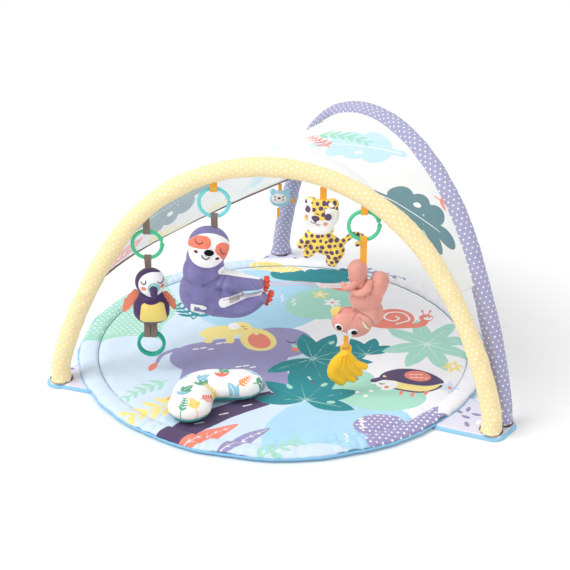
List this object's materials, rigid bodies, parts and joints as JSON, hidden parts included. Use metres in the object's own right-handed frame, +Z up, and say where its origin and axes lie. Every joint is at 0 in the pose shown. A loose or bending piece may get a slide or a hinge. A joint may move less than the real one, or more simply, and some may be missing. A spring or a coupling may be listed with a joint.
{
  "type": "activity play gym",
  "caption": "Round padded floor mat with two padded arches, a cloth canopy between them, hanging soft toys on snap links and a tummy-time pillow.",
  "frame": {"origin": "centre of the round mat on the floor", "axes": "+Z up; +X from the mat's centre to the tab where both arches stand side by side; the yellow arch with the toys is on the -Y side"},
  "size_m": [0.9799, 0.86, 0.5119],
  "materials": {
    "mat_print": "soft printed woven cloth",
    "mat_underside": "plain woven cloth",
    "filling": "fibre wadding",
    "tab_print": "soft printed woven cloth",
    "brown_plastic": "fine matte",
    "rivet_steel": "brushed",
    "rod_plastic": "smooth",
    "ferrule_steel": "satin",
    "foam": "soft foam",
    "yellow_sleeve": "soft dotted knit",
    "lavender_sleeve": "soft dotted knit",
    "canopy_print": "soft printed woven cloth",
    "taupe_tape": "woven tape",
    "satin": "satin",
    "green_plastic": "smooth gloss",
    "cyan_plastic": "smooth gloss",
    "teal_plastic": "smooth gloss",
    "plum_plush": "short pile",
    "aqua_plush": "short pile",
    "coral_felt": "felt",
    "purple_plush": "short dimpled pile",
    "case_plastic": "smooth",
    "button_plastic": "smooth",
    "circuit_board": "satin",
    "speaker_grey": "satin",
    "cell_steel": "polished",
    "yellow_plush": "short pile",
    "orange_tape": "woven tape",
    "pink_plush": "short pile",
    "banana_plastic": "soft matte",
    "teal_plush": "short pile",
    "pillow_print": "soft printed woven cloth"
  },
  "bodies": {
    "mat": {"mat_top": "mat_print", "mat_filling": "filling", "mat_backing": "mat_underside", "tab_left": "tab_print", "tab_back": "tab_print", "tab_right": "tab_print", "socket_left": "brown_plastic", "socket_back": "brown_plastic", "socket_right_front": "brown_plastic", "socket_right_rear": "brown_plastic", "socket_rivets": "rivet_steel"},
    "arches": {"front_rod_left": "rod_plastic", "front_rod_right": "rod_plastic", "front_ferrule": "ferrule_steel", "front_plug_left": "brown_plastic", "front_plug_right": "brown_plastic", "front_padding": "foam", "front_sleeve": "yellow_sleeve", "rear_rod_left": "rod_plastic", "rear_rod_right": "rod_plastic", "rear_ferrule": "ferrule_steel", "rear_plug_left": "brown_plastic", "rear_plug_right": "brown_plastic", "rear_padding": "foam", "rear_sleeve": "lavender_sleeve", "canopy_cloth": "canopy_print", "canopy_binding": "taupe_tape", "canopy_tab": "satin", "toucan_hanger": "taupe_tape", "sloth_hanger": "orange_tape", "plush_hanger": "orange_tape"},
    "toucan_link": {"toucan_link": "green_plastic"},
    "toucan": {"toucan_body": "plum_plush", "toucan_beak": "aqua_plush", "toucan_wings": "coral_felt", "toucan_strap": "taupe_tape", "toucan_lower_straps": "taupe_tape"},
    "teether_front": {"teether_ring_front": "teal_plastic"},
    "teether_rear": {"teether_ring_rear": "teal_plastic"},
    "sloth_link": {"sloth_link": "cyan_plastic"},
    "sloth": {"sloth_body": "purple_plush", "sloth_claws": "coral_felt", "sloth_strap": "taupe_tape", "music_case_front": "case_plastic", "music_case_back": "case_plastic", "music_board": "circuit_board", "music_speaker": "speaker_grey", "music_cells": "cell_steel"},
    "music_button": {"music_button": "button_plastic"},
    "leopard": {"leopard_body": "yellow_plush", "leopard_strap": "orange_tape"},
    "plush_link": {"plush_link": "green_plastic"},
    "plush": {"plush_body": "pink_plush", "plush_ears": "yellow_plush", "plush_straps": "orange_tape"},
    "banana": {"banana_teether": "banana_plastic"},
    "back_toy": {"back_toy_body": "teal_plush", "back_toy_ribbons": "orange_tape"},
    "pillow": {"pillow_cover": "pillow_print", "pillow_tag": "orange_tape"}
  },
  "joints": [
    {"name": "arches_lift", "type": "slide", "parent": "mat", "child": "arches", "axis": [0, 0, 1], "range_m": [0, 0.08]},
    {"name": "toucan_link_swing", "type": "hinge", "parent": "arches", "child": "toucan_link", "pos_m": [-0.14266, -0.25409, 0.33689], "axis": [0.809, 0.5878, 0], "range_deg": [-50, 20]},
    {"name": "toucan_swing", "type": "hinge", "parent": "toucan_link", "child": "toucan", "pos_m": [-0.14266, -0.25409, 0.27829], "axis": [0.809, 0.5878, 0], "range_deg": [-30, 30]},
    {"name": "teether_front_swing", "type": "hinge", "parent": "toucan", "child": "teether_front", "pos_m": [-0.14048, -0.25708, 0.11129], "axis": [0.809, 0.5878, 0], "range_deg": [-45, 0]},
    {"name": "teether_rear_swing", "type": "hinge", "parent": "toucan", "child": "teether_rear", "pos_m": [-0.14483, -0.25109, 0.11129], "axis": [0.809, 0.5878, 0], "range_deg": [0, 45]},
    {"name": "sloth_link_swing", "type": "hinge", "parent": "arches", "child": "sloth_link", "pos_m": [-0.02432, -0.18828, 0.43525], "axis": [0.809, 0.5878, 0], "range_deg": [-50, 25]},
    {"name": "sloth_swing", "type": "hinge", "parent": "sloth_link", "child": "sloth", "pos_m": [-0.02432, -0.18828, 0.37665], "axis": [0.809, 0.5878, 0], "range_deg": [-30, 30]},
    {"name": "music_press", "type": "slide", "parent": "sloth", "child": "music_button", "axis": [-0.5878, 0.809, 0], "range_m": [0, 0.0015], "stiffness_N_per_m": 300},
    {"name": "leopard_swing", "type": "hinge", "parent": "arches", "child": "leopard", "pos_m": [0.17212, -0.10005, 0.45676], "axis": [0.809, 0.5878, 0], "range_deg": [-3, 50]},
    {"name": "plush_link_swing", "type": "hinge", "parent": "arches", "child": "plush_link", "pos_m": [0.24758, -0.07176, 0.418], "axis": [0.809, 0.5878, 0], "range_deg": [-42, 2]},
    {"name": "plush_swing", "type": "hinge", "parent": "plush_link", "child": "plush", "pos_m": [0.24758, -0.07176, 0.3594], "axis": [0.809, 0.5878, 0], "range_deg": [-30, 3]},
    {"name": "banana_swing", "type": "hinge", "parent": "plush", "child": "banana", "pos_m": [0.22331, -0.0894, 0.1274], "axis": [0.809, 0.5878, 0], "range_deg": [-30, 30]},
    {"name": "back_toy_swing", "type": "hinge", "parent": "arches", "child": "back_toy", "pos_m": [-0.22376, 0.2875, 0.22962], "axis": [0.809, 0.5878, 0], "range_deg": [-45, 0]},
    {"name": "pillow_lift", "type": "slide", "parent": "mat", "child": "pillow", "axis": [0, 0, 1], "range_m": [0, 0.06]}
  ]
}
